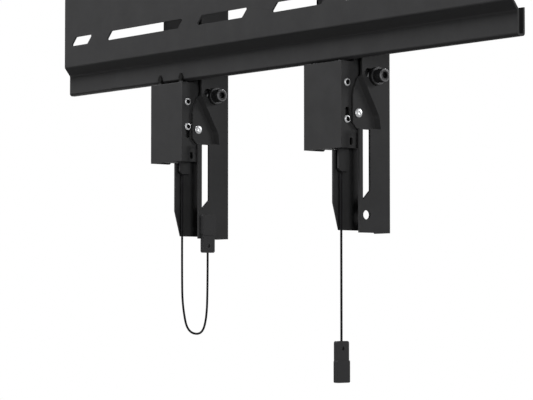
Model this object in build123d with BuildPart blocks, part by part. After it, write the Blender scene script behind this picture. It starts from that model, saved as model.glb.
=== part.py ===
# Tilting wall bracket for a flat television: one folded wall plate that carries two arms.
# Each arm is a hook bracket on the rails, a tilting arm and a sprung latch with a pull cord.
# Frame: X along the wall, Y from the wall to the television, Z up, millimetres.
import os
from math import atan2, cos, degrees, hypot, pi, radians, sin, tan

from build123d import *

# Wall plate
plate_length = 690.0
plate_height = 190.0
plate_sheet = 2.0
rail_strip = 22.0
rail_slope = 9.0
rail_standoff = 7.0
hem_depth = 9.0
hem_height = 25.0
plate_bend = 3.0
slot_height = 9.5
slot_row = 36.25
slot_corner = 1.5
# Middle and length of the screw slots as shares of the plate's length
slot_runs = ((0.0878, 0.1098), (0.2823, 0.1886), (0.4522, 0.0470))

# Arms: edge of the hook bracket along the wall, and how far its latch is pulled down
latch_travel = 9.0
arms = (("left", -129.5, 0.0), ("right", 120.5, latch_travel))

# Hook bracket
bracket_sheet = 2.5
web_sheet = 2.0
box_width = 54.5
box_front = 2.0
box_back = 28.0
box_top_gap = 1.5
box_height = 82.0
box_chamfer = 3.0
wall_chamfer = 1.0
ear_front_gap = 2.0
ear_back = 50.0
ear_rise = 15.0
hook_seat_gap = 0.3
hook_tip_gap = 1.5
hook_drop = 11.0
hook_rise = 15.0
peep_depth = 12.4
peep_rise = 6.4
peep_length = 7.0
peep_width = 3.6
tie_height = 60.0
tie_depth = 34.0
tie_radius = 5.0
tie_bore = 3.0
ear_web_height = 62.0

# Latch
latch_sheet = 2.2
latch_gap = 0.3
tip_rise = 10.0
tip_half = 3.5
tip_neck_half = 2.2
tip_right = 6.3
tip_left = 42.6
leg_inset = 6.3
leg_width = 13.0
leg_below_box = 12.5
leg_chamfer = 2.5
latch_top_gap = 1.5
latch_plate_height = 30.0
tip_flat_half = 0.8
tip_root = 1.0
spring_tab_width = 16.0
spring_tab_reach = 14.0
spring_tab_rise = 30.0
spring_inset = 26.0
spring_depth = 8.0
spring_radius = 3.2
spring_wire = 0.9
spring_turns = 6
spring_turn_steps = 10

# Rivets
rivet_radius = 2.5
rivet_head = 3.9
rivet_edge = 0.4
rivet_tail = 2.9
rivet_tail_height = 1.2
rivet_head_height = 1.0
rivet_bore = 1.9
rivet_bore_depth = 3.2
rivet_play = 0.2
guide_depth = 7.5
guide_drop = 20.1
latch_pin_rise = 36.1
pivot_depth = 19.0
pivot_rise = 33.2
pivot_radius = 3.0
pivot_head = 4.5
pivot_edge = 0.8
pivot_tail = 3.6
pivot_tail_height = 1.6
pivot_head_height = 1.4

# Lower leg of the hook bracket
leg_sheet = 2.0
lower_leg_inset = 12.9
lower_leg_front = 3.0
lower_leg_inside_gap = 2.0
lower_leg_under_gap = 1.0
lower_leg_back = 36.0
lower_leg_below_box = 76.9
lower_leg_taper = 7.2
lower_leg_taper_height = 26.0
lower_leg_weld = 26.0

# Tilting arm
arm_sheet = 2.5
arm_gap = 0.3
arm_offset = 6.0
arm_back = 57.5
arm_below_box = 79.5
arm_above_plate = 80.0
arm_front = 17.5
arm_ear_front = 20.8
arm_flange = 22.5
arm_bend = 3.5
arm_slot_front = 21.5
arm_slot_width = 9.2
arm_slot_top_gap = 1.0
arm_slot_below_box = 48.9
arm_hole_depth = 26.3
arm_hole_below_box = 62.7
arm_hole = 4.5
tongue_front = 14.2
tongue_run = 4.0
tongue_drop = 14.7
tongue_corner = 5.0
tongue_bend = 10.0
tongue_clear = 60.0
# Depth and height from the pivot: curved side of the pressed-in part, and the round shoulder of its tongue
press_curve = ((-0.2, 48.3), (1.3, 35.3), (22.6, -2.7), (24.6, -14.7))
tongue_shoulder = ((-6.8, 17.0), (-5.7, 22.5), (-2.9, 29.0), (-0.2, 35.5))
tv_slot_width = 9.0
tv_slot_length = 60.0
tv_slot_pitch = 100.0
tv_slot_count = 4
tv_slot_middle = -40.0

# Tilt clamp
tilt_max = 6.0
tilt_spare = 2.0
tilt_slot_end = 8.0
clamp_depth = 16.5
clamp_rise = 35.3
clamp_radius = 4.0
clamp_head = 6.5
clamp_head_height = 9.0
clamp_head_edge = 0.7
clamp_tail = 1.5
clamp_socket = 6.9
clamp_socket_depth = 4.5
clamp_play = 0.3
clamp_washer = 8.75
clamp_washer_height = 4.5
clamp_washer_edge = 0.5
clamp_spacer = 7.0
clamp_nut = 13.0
clamp_nut_height = 6.5

# Pull cord and tab
cord_radius = 1.1
cord_depth = 8.2
tab_width = 16.0
tab_height = 39.0
tab_thick = 4.5
tab_grip = 0.9
tab_neck = 15.2
tab_neck_height = 18.0
tab_corner = 2.0
tab_grip_corner = 1.5
tab_eye = 1.7
tab_eye_drop = 7.0
magnet_radius = 4.0
magnet_height = 2.0
magnet_rise = 5.0
hang_length = 159.4
cord_bend_share = 0.45

# Levels worked out from the sizes above
rail_bottom = -plate_height / 2
box_top = rail_bottom - box_top_gap
box_bottom = box_top - box_height
rail_back = rail_standoff + hem_depth
pivot_y = box_front + pivot_depth
pivot_z = box_bottom + pivot_rise
pin_z = box_bottom + latch_pin_rise
spring_tab_z = box_bottom + spring_tab_rise
tongue_bottom = pivot_z - tongue_drop
arm_bottom = box_bottom - arm_below_box
arm_top = plate_height / 2 + arm_above_plate
lower_leg_bottom = box_bottom - lower_leg_below_box
guide_y = box_front + guide_depth
clamp_y = pivot_y + clamp_depth
clamp_z = pivot_z + clamp_rise
latch_front = box_front + web_sheet + latch_gap
leg_bottom = box_bottom - leg_below_box

os.makedirs("parts", exist_ok=True)


def write(part, name):
    """Label one finished piece and write its file."""
    part.label = name
    export_step(part, f"parts/{name}.step")


def side_plane(x):
    """Plane square to the wall at one place along it: local x is depth, local y is height."""
    return Plane.YZ.offset(x)


def wall_plane(y):
    """Plane parallel to the wall, seen from the wall's side: local x is along it, local y is height."""
    return Plane.XZ.offset(-y)


def wall_plate():
    """Folded sheet with a hemmed rail along its top and bottom and two rows of slanted screw slots."""
    half = plate_height / 2
    bend = half - rail_strip - rail_slope
    lower = [
        (rail_back, hem_height - half),
        (rail_back, -half),
        (rail_standoff, -half),
        (rail_standoff, rail_strip - half),
        (0, -bend),
    ]
    upper = [(y, -z) for y, z in reversed(lower)]
    with BuildPart() as plate:
        with BuildSketch(Plane.YZ):
            with BuildLine():
                FilletPolyline(*lower, *upper, radius=plate_bend)
                offset(amount=plate_sheet, side=Side.RIGHT)
            make_face()
        extrude(amount=plate_length / 2, both=True)
        with BuildSketch(Plane.XZ):
            for middle, length in slot_runs:
                for side in (-1, 1):
                    for row in (-1, 1):
                        with Locations((side * middle * plate_length, row * slot_row)):
                            slanted_slot(length * plate_length)
        extrude(amount=-plate_sheet, mode=Mode.SUBTRACT)
    return plate.part


def slanted_slot(length):
    """Slot whose two ends lean by 45 degrees, drawn in the sketch that calls it."""
    lean = slot_height / 2
    low = -length / 2 - lean
    corners = [
        (low, -lean),
        (low + length, -lean),
        (low + length + slot_height, lean),
        (low + slot_height, lean),
    ]
    with BuildSketch(mode=Mode.PRIVATE) as slot:
        Polygon(*corners, align=None)
        fillet(slot.vertices(), radius=slot_corner)
    add(slot.sketch)


def bracket_outline(chamfer_size):
    """Side wall of the hook bracket: box at the bottom, ear behind the plate, hook over the top rail."""
    ear_front = rail_back + ear_front_gap
    seat = plate_height / 2 + hook_seat_gap
    ear_low = clamp_z - ear_rise
    tip_back = rail_standoff - hook_tip_gap
    with BuildSketch(mode=Mode.PRIVATE) as outline:
        with BuildLine():
            Polyline(
                (box_front, box_bottom),
                (box_back, box_bottom),
                (box_back, ear_low - (ear_back - box_back)),
                (ear_back, ear_low),
                (ear_back, tie_height),
                (ear_back - hook_rise, seat + hook_rise),
                (box_front, seat + hook_rise),
                (box_front, seat - hook_drop),
                (tip_back, seat - hook_drop),
                (tip_back, seat),
                (ear_front, seat),
                (ear_front, box_top),
                (box_front, box_top),
                close=True,
            )
        make_face()
        low_corner = outline.vertices().group_by(Axis.Y)[0].sort_by(Axis.X)[-1]
        chamfer(low_corner, length=chamfer_size)
    return outline.sketch


def hook_bracket(edge):
    """Folded U: a web towards the wall, two side walls up to hooks on the top rail, a web behind them."""
    far = edge - box_width
    with BuildPart() as bracket:
        with BuildSketch(side_plane(edge - bracket_sheet)):
            add(bracket_outline(wall_chamfer))
        extrude(amount=bracket_sheet)
        with BuildSketch(side_plane(far)):
            add(bracket_outline(box_chamfer))
        extrude(amount=bracket_sheet)
        with BuildSketch(wall_plane(box_front)):
            with Locations((far, box_bottom)):
                Rectangle(box_width, box_height, align=(Align.MIN, Align.MIN))
        extrude(amount=-web_sheet)
        with BuildSketch(Plane.XY.offset(box_bottom)):
            with Locations((edge - spring_inset, box_front)):
                Rectangle(
                    spring_tab_width,
                    web_sheet + spring_tab_reach,
                    align=(Align.CENTER, Align.MIN),
                )
        extrude(amount=web_sheet)
        with BuildSketch(wall_plane(ear_back)):
            with Locations((far, clamp_z - ear_rise)):
                Rectangle(box_width, ear_web_height, align=(Align.MIN, Align.MIN))
        extrude(amount=web_sheet)
        with BuildSketch(side_plane(edge)):
            with Locations((guide_y, box_top - guide_drop)):
                Circle(rivet_radius)
            with Locations((guide_y, pin_z - latch_travel / 2)):
                SlotCenterToCenter(latch_travel, 2 * (rivet_radius + rivet_play), rotation=90)
            with Locations((box_front + peep_depth, box_bottom + peep_rise)):
                SlotOverall(peep_length, peep_width, rotation=90)
            with Locations((pivot_y, pivot_z)):
                Circle(pivot_radius)
            with Locations((clamp_y, clamp_z)):
                Circle(clamp_radius)
            with Locations((tie_depth, tie_height)):
                Circle(tie_bore)
        extrude(amount=-bracket_sheet, mode=Mode.SUBTRACT)
        with BuildSketch(side_plane(far)):
            with Locations((tie_depth, tie_height)):
                Circle(tie_bore)
        extrude(amount=bracket_sheet, mode=Mode.SUBTRACT)
    return bracket.part


def tie_spacer(edge):
    """Tubular spacer riveted between the two side walls near their hooks."""
    with BuildPart() as spacer:
        with BuildSketch(side_plane(edge - box_width + bracket_sheet)):
            with Locations((tie_depth, tie_height)):
                Circle(tie_radius)
        extrude(amount=box_width - 2 * bracket_sheet)
        with BuildSketch(side_plane(edge - box_width)):
            with Locations((tie_depth, tie_height)):
                Circle(tie_bore)
        extrude(amount=box_width)
        with BuildSketch(side_plane(edge - box_width)):
            with Locations((tie_depth, tie_height)):
                Circle(rivet_bore)
        extrude(amount=box_width, mode=Mode.SUBTRACT)
    return spacer.part


def lower_leg(edge):
    """Angle welded inside the box; its leg reaches below it and tapers at the front of its foot."""
    plate_x = edge - lower_leg_inset - leg_sheet
    inside = latch_front + latch_sheet + lower_leg_inside_gap
    weld_bottom = box_bottom + web_sheet
    weld_top = weld_bottom + lower_leg_weld
    under_box = box_bottom - lower_leg_under_gap
    with BuildPart() as leg:
        with BuildSketch(side_plane(plate_x)):
            with BuildLine():
                Polyline(
                    (inside, weld_top),
                    (inside, under_box),
                    (lower_leg_front, under_box),
                    (lower_leg_front, lower_leg_bottom + lower_leg_taper_height),
                    (lower_leg_front + lower_leg_taper, lower_leg_bottom),
                    (lower_leg_back, lower_leg_bottom),
                    (lower_leg_back, weld_bottom),
                    (box_back, weld_bottom),
                    (box_back, weld_top),
                    close=True,
                )
            make_face()
        extrude(amount=leg_sheet)
        with BuildSketch(wall_plane(box_back)):
            with Locations((plate_x, weld_bottom)):
                Rectangle(
                    lower_leg_inset + leg_sheet - bracket_sheet,
                    lower_leg_weld,
                    align=(Align.MIN, Align.MIN),
                )
        extrude(amount=leg_sheet)
    return leg.part


def latch_slider(edge, pulled):
    """Folded slider behind the web: two arrow tips above it and a leg that shows under the box."""
    shift = -pulled
    top = box_top - latch_top_gap + shift
    leg_x = edge - leg_inset - latch_sheet
    low = top - latch_plate_height
    tab_z = spring_tab_z + shift
    leg_back = latch_front + leg_width
    with BuildPart() as slider:
        with BuildSketch(wall_plane(latch_front)):
            with Locations((edge - tip_left - tip_half, low)):
                Rectangle(tip_left + tip_half - leg_inset, top - low, align=(Align.MIN, Align.MIN))
            with Locations((edge - spring_inset, tab_z)):
                Rectangle(spring_tab_width, top - tab_z, align=(Align.CENTER, Align.MIN))
            for place in (tip_left, tip_right):
                with Locations((edge - place, top)):
                    arrow_tip(box_top + tip_rise + shift - top)
        extrude(amount=-latch_sheet)
        with BuildSketch(Plane.XY.offset(tab_z)):
            with Locations((edge - spring_inset, latch_front)):
                Rectangle(spring_tab_width, spring_tab_reach, align=(Align.CENTER, Align.MIN))
        extrude(amount=latch_sheet)
        with BuildSketch(side_plane(leg_x)):
            with BuildLine():
                Polyline(
                    (latch_front, top),
                    (leg_back, top),
                    (leg_back, leg_bottom + shift),
                    (latch_front + leg_chamfer, leg_bottom + shift),
                    (latch_front, leg_bottom + leg_chamfer + shift),
                    close=True,
                )
            make_face()
            with Locations((guide_y, box_top - guide_drop + latch_travel / 2 + shift)):
                SlotCenterToCenter(
                    latch_travel, 2 * (rivet_radius + rivet_play), rotation=90, mode=Mode.SUBTRACT
                )
            with Locations((guide_y, pin_z + shift)):
                Circle(rivet_radius, mode=Mode.SUBTRACT)
        extrude(amount=latch_sheet)
    return slider.part


def arrow_tip(rise):
    """Neck and arrow head of one latch tip, drawn in the sketch that calls it."""
    head = rise / 2
    with BuildSketch(mode=Mode.PRIVATE) as tip:
        Polygon(
            (-tip_neck_half, -tip_root),
            (tip_neck_half, -tip_root),
            (tip_neck_half, rise - head),
            (tip_half, rise - head),
            (tip_flat_half, rise),
            (-tip_flat_half, rise),
            (-tip_half, rise - head),
            (-tip_neck_half, rise - head),
            align=None,
        )
    add(tip.sketch)


def latch_spring(edge, pulled):
    """Coil spring that lifts the latch, its wire drawn in short straight steps between the two tabs."""
    low = box_bottom + web_sheet + spring_wire
    high = spring_tab_z - pulled - spring_wire
    steps = spring_turns * spring_turn_steps
    coil = []
    for step in range(steps + 1):
        turn = 2 * pi * step / spring_turn_steps
        coil.append(
            (
                edge - spring_inset + spring_radius * cos(turn),
                latch_front + spring_depth + spring_radius * sin(turn),
                low + (high - low) * step / steps,
            )
        )
    with BuildPart() as spring:
        with BuildLine() as path:
            Polyline(*coil)
        with BuildSketch(Plane(path.line @ 0, z_dir=path.line % 0)):
            RegularPolygon(spring_wire / 2, 6)
        sweep(transition=Transition.RIGHT)
    return spring.part


def tubular_rivet(inside, outside, depth, height):
    """Rivet along X with a bored head on its outer side and a flat tail inside."""
    with BuildPart() as rivet:
        with BuildSketch(side_plane(inside)):
            with Locations((depth, height)):
                Circle(rivet_radius)
        extrude(amount=outside - inside)
        with BuildSketch(side_plane(outside)):
            with Locations((depth, height)):
                Circle(rivet_head)
        extrude(amount=rivet_head_height)
        with BuildSketch(side_plane(inside)):
            with Locations((depth, height)):
                Circle(rivet_tail)
        extrude(amount=-rivet_tail_height)
        with BuildSketch(side_plane(outside + rivet_head_height)):
            with Locations((depth, height)):
                Circle(rivet_bore)
        extrude(amount=-rivet_bore_depth, mode=Mode.SUBTRACT)
        chamfer(rivet.faces().sort_by(Axis.X)[-1].outer_wire().edges(), length=rivet_edge)
    return rivet.part


def pivot_rivet(edge):
    """Solid rivet with a low domed head: the axis on which the arm tilts."""
    inside = edge - bracket_sheet
    outside = edge + arm_gap + arm_sheet + rivet_play
    with BuildPart() as rivet:
        with BuildSketch(side_plane(inside - pivot_tail_height)):
            with Locations((pivot_y, pivot_z)):
                Circle(pivot_tail)
        extrude(amount=pivot_tail_height)
        with BuildSketch(side_plane(inside)):
            with Locations((pivot_y, pivot_z)):
                Circle(pivot_radius)
        extrude(amount=outside - inside)
        with BuildSketch(side_plane(outside)):
            with Locations((pivot_y, pivot_z)):
                Circle(pivot_head)
        extrude(amount=pivot_head_height)
        chamfer(rivet.edges().filter_by(GeomType.CIRCLE).sort_by(Axis.X)[-1], length=pivot_edge)
    return rivet.part


def press_outline(back):
    """Outline of the pressed-in part of the arm, with its curved side moved by back in depth."""
    curve = [(pivot_y + depth + back, pivot_z + rise) for depth, rise in press_curve]
    with BuildSketch(mode=Mode.PRIVATE) as outline:
        with BuildLine():
            Polyline((-tongue_clear, curve[0][1]), *curve, (-tongue_clear, curve[-1][1]), close=True)
        make_face()
        bends = outline.vertices().sort_by(Axis.Y)[2:4]
        fillet(bends, radius=tongue_bend)
    return outline.sketch


def tongue_cut():
    """What is cut off in front of the tongue: its round shoulder, straight front and lower corner."""
    shoulder = [(pivot_y + depth, pivot_z + rise) for depth, rise in tongue_shoulder]
    with BuildSketch(mode=Mode.PRIVATE) as cut:
        with BuildLine():
            Polyline(
                (-2 * tongue_clear, tongue_bottom),
                (tongue_front + tongue_corner, tongue_bottom),
                (tongue_front, tongue_bottom + tongue_corner),
                *shoulder,
                (shoulder[-1][0], arm_top),
                (-2 * tongue_clear, arm_top),
                close=True,
            )
        make_face()
        fillet(cut.vertices().group_by(Axis.Y)[1], radius=tongue_corner / 2)
    return cut.sketch


def tilting_arm(edge):
    """Folded arm: a side plate pressed in at the pivot, and a flange with the screw slots of the set."""
    inner = edge + arm_gap
    outer = edge + arm_offset
    radius = hypot(clamp_depth, clamp_rise)
    start = degrees(atan2(clamp_rise, clamp_depth))
    sweep_angle = tilt_max + tilt_spare + tilt_slot_end
    tilt_path = CenterArc((pivot_y, pivot_z), radius, start - tilt_spare, sweep_angle)
    slot_top = tongue_bottom - arm_slot_top_gap
    slot_bottom = box_bottom - arm_slot_below_box
    slot_back = arm_slot_front + arm_slot_width
    with BuildPart() as arm:
        with BuildSketch(side_plane(outer)):
            with BuildLine():
                Polyline(
                    (arm_front, arm_bottom),
                    (arm_back, arm_bottom),
                    (arm_back, arm_top),
                    (arm_ear_front, arm_top),
                    (arm_ear_front, tongue_bottom),
                    (arm_front, tongue_bottom),
                    close=True,
                )
            make_face()
        extrude(amount=arm_sheet)
        with BuildSketch(side_plane(inner)):
            add(press_outline(-tongue_run))
        with BuildSketch(side_plane(outer + arm_sheet)):
            add(press_outline(0))
        loft()
        with BuildSketch(side_plane(inner + arm_sheet)):
            add(press_outline(-tongue_run))
        with BuildSketch(side_plane(outer + 2 * arm_sheet)):
            add(press_outline(0))
        loft(mode=Mode.SUBTRACT)
        with BuildSketch(side_plane(inner)):
            add(tongue_cut())
        extrude(amount=outer - inner + arm_sheet, mode=Mode.SUBTRACT)
        with BuildSketch(side_plane(outer)):
            Polygon(
                (arm_slot_front, slot_top),
                (arm_slot_front, slot_bottom),
                (slot_back, slot_bottom + arm_slot_width),
                (slot_back, slot_top),
                align=None,
            )
            with Locations((arm_hole_depth, box_bottom - arm_hole_below_box)):
                Circle(arm_hole)
            SlotArc(tilt_path, height=2 * (clamp_radius + clamp_play))
        extrude(amount=arm_sheet, mode=Mode.SUBTRACT)
        with BuildSketch(side_plane(inner)):
            with Locations((pivot_y, pivot_z)):
                Circle(pivot_radius + rivet_play / 2)
        extrude(amount=arm_sheet, mode=Mode.SUBTRACT)
        with BuildSketch(wall_plane(arm_back - arm_sheet)):
            with Locations((outer + arm_sheet, arm_bottom)):
                Rectangle(arm_flange, arm_top - arm_bottom, align=(Align.MAX, Align.MIN))
            with Locations((outer + arm_sheet - arm_flange / 2, tv_slot_middle)):
                with GridLocations(1, tv_slot_pitch, 1, tv_slot_count):
                    SlotOverall(tv_slot_length, tv_slot_width, rotation=90, mode=Mode.SUBTRACT)
        extrude(amount=-arm_sheet)
        corner = arm.edges().filter_by(Axis.Z).filter_by_position(Axis.Y, arm_back, arm_back)
        fillet(corner.sort_by(Axis.X)[-1], radius=arm_bend)
    return arm.part


def clamp_spacer_tube(edge):
    """Distance tube between the side wall and the arm at the clamp screw."""
    with BuildPart() as tube:
        with BuildSketch(side_plane(edge)):
            with Locations((clamp_y, clamp_z)):
                Circle(clamp_spacer)
                Circle(clamp_radius, mode=Mode.SUBTRACT)
        extrude(amount=arm_offset - arm_gap)
    return tube.part


def clamp_washer_disc(edge):
    """Wide washer under the head of the clamp screw."""
    with BuildPart() as washer:
        with BuildSketch(side_plane(edge + arm_offset + arm_sheet + arm_gap)):
            with Locations((clamp_y, clamp_z)):
                Circle(clamp_washer)
                Circle(clamp_radius, mode=Mode.SUBTRACT)
        extrude(amount=clamp_washer_height)
        chamfer(washer.faces().sort_by(Axis.X)[-1].outer_wire().edges(), length=clamp_washer_edge)
    return washer.part


def clamp_screw(edge):
    """Socket head screw that clamps the arm at its tilt."""
    inside = edge - bracket_sheet - clamp_nut_height - clamp_tail
    seat = edge + arm_offset + arm_sheet + arm_gap + clamp_washer_height
    with BuildPart() as screw:
        with BuildSketch(side_plane(inside)):
            with Locations((clamp_y, clamp_z)):
                Circle(clamp_radius)
        extrude(amount=seat - inside)
        with BuildSketch(side_plane(seat)):
            with Locations((clamp_y, clamp_z)):
                Circle(clamp_head)
        extrude(amount=clamp_head_height)
        chamfer(screw.edges().filter_by(GeomType.CIRCLE).sort_by(Axis.X)[-1], length=clamp_head_edge)
        with BuildSketch(side_plane(seat + clamp_head_height)):
            with Locations((clamp_y, clamp_z)):
                RegularPolygon(clamp_socket / 2, 6)
        extrude(amount=-clamp_socket_depth, mode=Mode.SUBTRACT)
    return screw.part


def clamp_nut_hex(edge):
    """Nut of the clamp screw, inside the side wall."""
    with BuildPart() as nut:
        with BuildSketch(side_plane(edge - bracket_sheet)):
            with Locations((clamp_y, clamp_z)):
                RegularPolygon(clamp_nut / 2, 6, major_radius=False)
                Circle(clamp_radius, mode=Mode.SUBTRACT)
        extrude(amount=-clamp_nut_height)
    return nut.part


def pull_tab(end, inward, down):
    """Flat grip with a narrower neck, an eye for the cord and a thicker lower half with a magnet pocket.

    end is the middle of the flat that the cord meets, inward is the side of the magnet along X and
    down is -1 where the grip hangs under the cord and 1 where it is stowed above it.
    """
    neck = tab_neck_height / 2
    grip = (tab_height + tab_neck_height) / 2
    grip_size = (tab_width, tab_height - tab_neck_height)
    back = Plane(end, x_dir=(0, 1, 0), z_dir=(1, 0, 0))
    with BuildPart() as tab:
        with BuildSketch(back) as outline:
            with Locations((0, down * neck)):
                Rectangle(tab_neck, tab_neck_height)
            fillet(outline.vertices().sort_by(Axis.Y)[::down][:2], radius=tab_corner)
            with Locations((0, down * grip)):
                RectangleRounded(*grip_size, tab_grip_corner)
            with Locations((0, down * (tab_neck_height - tab_grip_corner))):
                Rectangle(tab_neck, 4 * tab_grip_corner)
            with Locations((0, down * tab_eye_drop)):
                Circle(tab_eye, mode=Mode.SUBTRACT)
        extrude(amount=tab_thick / 2, both=True)
        with BuildSketch(back.offset(-inward * tab_thick / 2)):
            with Locations((0, down * grip)):
                RectangleRounded(*grip_size, tab_grip_corner)
        extrude(amount=-inward * tab_grip)
        with BuildSketch(back.offset(inward * tab_thick / 2)):
            with Locations((0, down * (tab_height / 2 + magnet_rise))):
                Circle(magnet_radius)
        extrude(amount=-inward * magnet_height, mode=Mode.SUBTRACT)
    return tab.part


def tab_magnet(end, inward, down):
    """Disc magnet in the pocket of a tab."""
    back = Plane(end, x_dir=(0, 1, 0), z_dir=(1, 0, 0))
    with BuildPart() as magnet:
        with BuildSketch(back.offset(inward * tab_thick / 2)):
            with Locations((0, down * (tab_height / 2 + magnet_rise))):
                Circle(magnet_radius)
        extrude(amount=-inward * magnet_height)
    return magnet.part


def cord(points):
    """Cord along straight runs joined by arcs as large as the runs allow."""
    route = [Vector(*point) for point in points]
    radii = []
    for before, corner, after in zip(route, route[1:], route[2:]):
        turn = (corner - before).get_angle(after - corner)
        shorter = min((corner - before).length, (after - corner).length)
        radii.append(cord_bend_share * shorter / tan(radians(turn) / 2))
    with BuildPart() as tube:
        with BuildLine() as path:
            if radii:
                FilletPolyline(*route, radius=radii)
            else:
                Line(*route)
        with BuildSketch(Plane(path.line @ 0, z_dir=path.line % 0)):
            Circle(cord_radius)
        sweep()
    print("cord length", round(path.wires()[0].length, 1), "radii", [round(r, 1) for r in radii])
    return tube.part


# Route of the looped cord from its latch leg to its stowed tab: X from the bracket edge, Z from the leg
looped_route = (
    (-7.4, 8.2, 0.0),
    (-7.8, 7.9, -114.0),
    (-6.6, 9.0, -141.0),
    (-3.3, 12.3, -163.0),
    (6.6, 22.8, -166.0),
    (10.2, 26.6, -149.0),
    (10.75, 27.3, -114.0),
    (10.75, 27.3, -81.5),
)

write(wall_plate(), "wall_plate")
for side, edge, pulled in arms:
    leg_x = edge - leg_inset - latch_sheet
    write(hook_bracket(edge), f"{side}_hook_bracket")
    write(tie_spacer(edge), f"{side}_tie_spacer")
    write(lower_leg(edge), f"{side}_lower_leg")
    write(latch_slider(edge, pulled), f"{side}_latch_slider")
    write(latch_spring(edge, pulled), f"{side}_latch_spring")
    guide = tubular_rivet(leg_x - latch_gap, edge, guide_y, box_top - guide_drop)
    write(guide, f"{side}_guide_rivet")
    pin = tubular_rivet(leg_x, edge + rivet_play, guide_y, pin_z - pulled)
    write(pin, f"{side}_latch_pin")
    write(pivot_rivet(edge), f"{side}_pivot_rivet")
    write(tilting_arm(edge), f"{side}_tilting_arm")
    write(clamp_spacer_tube(edge), f"{side}_clamp_spacer")
    write(clamp_washer_disc(edge), f"{side}_clamp_washer")
    write(clamp_screw(edge), f"{side}_clamp_screw")
    write(clamp_nut_hex(edge), f"{side}_clamp_nut")
    if pulled:
        cord_x = edge - leg_inset - latch_sheet / 2
        top = leg_bottom - pulled
        route = ((cord_x, cord_depth, top), (cord_x, cord_depth, top - hang_length))
        tab_end, tab_side, tab_down = route[-1], -1, -1
    else:
        route = tuple((edge + x, y, leg_bottom + z) for x, y, z in looped_route)
        tab_end, tab_side, tab_down = route[-1], -1, 1
    write(cord(route), f"{side}_pull_cord")
    write(pull_tab(tab_end, tab_side, tab_down), f"{side}_pull_tab")
    write(tab_magnet(tab_end, tab_side, tab_down), f"{side}_tab_magnet")
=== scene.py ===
"""Finish of a tilting television wall bracket.

Coated sheet, plated rivets, clamp screws, springs and pull cords.
"""

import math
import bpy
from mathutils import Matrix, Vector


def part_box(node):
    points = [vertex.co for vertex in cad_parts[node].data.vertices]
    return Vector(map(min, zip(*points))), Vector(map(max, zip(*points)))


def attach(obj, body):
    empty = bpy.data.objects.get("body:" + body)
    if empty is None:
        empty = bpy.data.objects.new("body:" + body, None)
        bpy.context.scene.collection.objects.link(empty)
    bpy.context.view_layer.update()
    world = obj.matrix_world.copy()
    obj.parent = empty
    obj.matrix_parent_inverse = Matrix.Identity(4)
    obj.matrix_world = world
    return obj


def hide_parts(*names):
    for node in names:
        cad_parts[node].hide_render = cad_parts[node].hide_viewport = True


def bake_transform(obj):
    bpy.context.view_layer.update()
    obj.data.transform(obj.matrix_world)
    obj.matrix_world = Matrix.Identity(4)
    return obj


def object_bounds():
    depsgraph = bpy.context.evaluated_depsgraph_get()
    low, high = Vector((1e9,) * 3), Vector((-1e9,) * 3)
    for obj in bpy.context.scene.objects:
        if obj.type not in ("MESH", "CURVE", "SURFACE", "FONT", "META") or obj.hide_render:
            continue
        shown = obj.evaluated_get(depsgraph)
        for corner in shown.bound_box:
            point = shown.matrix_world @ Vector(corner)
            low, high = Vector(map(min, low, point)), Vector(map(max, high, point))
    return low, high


bl_info = {
    "name": "Tilting wall bracket finish",
    "version": (1, 0, 0),
    "blender": (4, 5, 0),
    "location": "View3D > Sidebar > Bracket",
    "description": "Dresses the packed bracket with its coats, rivets, clamps, springs, cords and tabs",
    "category": "Object",
}

import bmesh
import bpy
from mathutils import Matrix, Vector

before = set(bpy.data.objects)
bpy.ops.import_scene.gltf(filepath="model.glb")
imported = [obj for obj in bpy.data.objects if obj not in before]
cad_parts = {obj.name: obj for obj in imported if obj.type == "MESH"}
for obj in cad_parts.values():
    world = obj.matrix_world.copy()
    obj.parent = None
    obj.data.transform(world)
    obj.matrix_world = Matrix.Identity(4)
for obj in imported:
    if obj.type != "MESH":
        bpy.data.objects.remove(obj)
cad_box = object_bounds()

SIDES = ("left", "right")
# Folded sheets and the bodies that they ride on.
SHEETS = (
    ("wall_plate", "wall_plate"),
    *(
        (f"{side}_{sheet}", f"{side}_{body}")
        for sheet, body in (
            ("hook_bracket", "hook"),
            ("lower_leg", "hook"),
            ("tilting_arm", "arm"),
            ("latch_slider", "latch"),
        )
        for side in SIDES
    ),
)

# Corners closer than this, in metres, are one. Faces within this angle, in degrees, are one flat face.
MERGE_DISTANCE = 2e-6
FLAT_ANGLE = 0.6
# Wider faces of a sheet are flat; narrower ones are steps of a bend and shade smooth.
FLAT_WIDTH = 0.0015
# Sharper edges than this, in degrees, are rounded, or stay sharp on turned pieces.
SHARP_ANGLE = 35.0

# The view of the photograph: its frame in pixels, and where the camera stands.
PHOTO_WIDTH = 533.0
FOCAL_PIXELS = 2100.0
CAMERA_PLACE = (1.6017, -1.2831, -0.3212)
CAMERA_TURN = 51.1
CAMERA_RISE = 2.73

# Lamps: name, place and width in metres. Their powers are among the sizes.
LAMPS = (
    ("key", (-0.5, -0.95, 2.3), 1.0),
    ("fill", (2.3, -0.8, 0.0), 0.7),
    ("side", (1.4, 1.9, 0.5), 0.8),
    ("back", (-1.5, 2.2, 1.5), 0.8),
)
FLOOR_REACH = 30.0

# Braid of the cords: phase of the strands, in radians, for one turn round a cord and for a metre along it.
BRAID_TURN = 25.13
BRAID_RUN = 5200.0

# Sides of a nut or a screw's socket.
HEXAGON = 6

# Steps of the springs: for one turn of the coil, and round the wire.
COIL_STEPS = 28
WIRE_STEPS = 10

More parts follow.
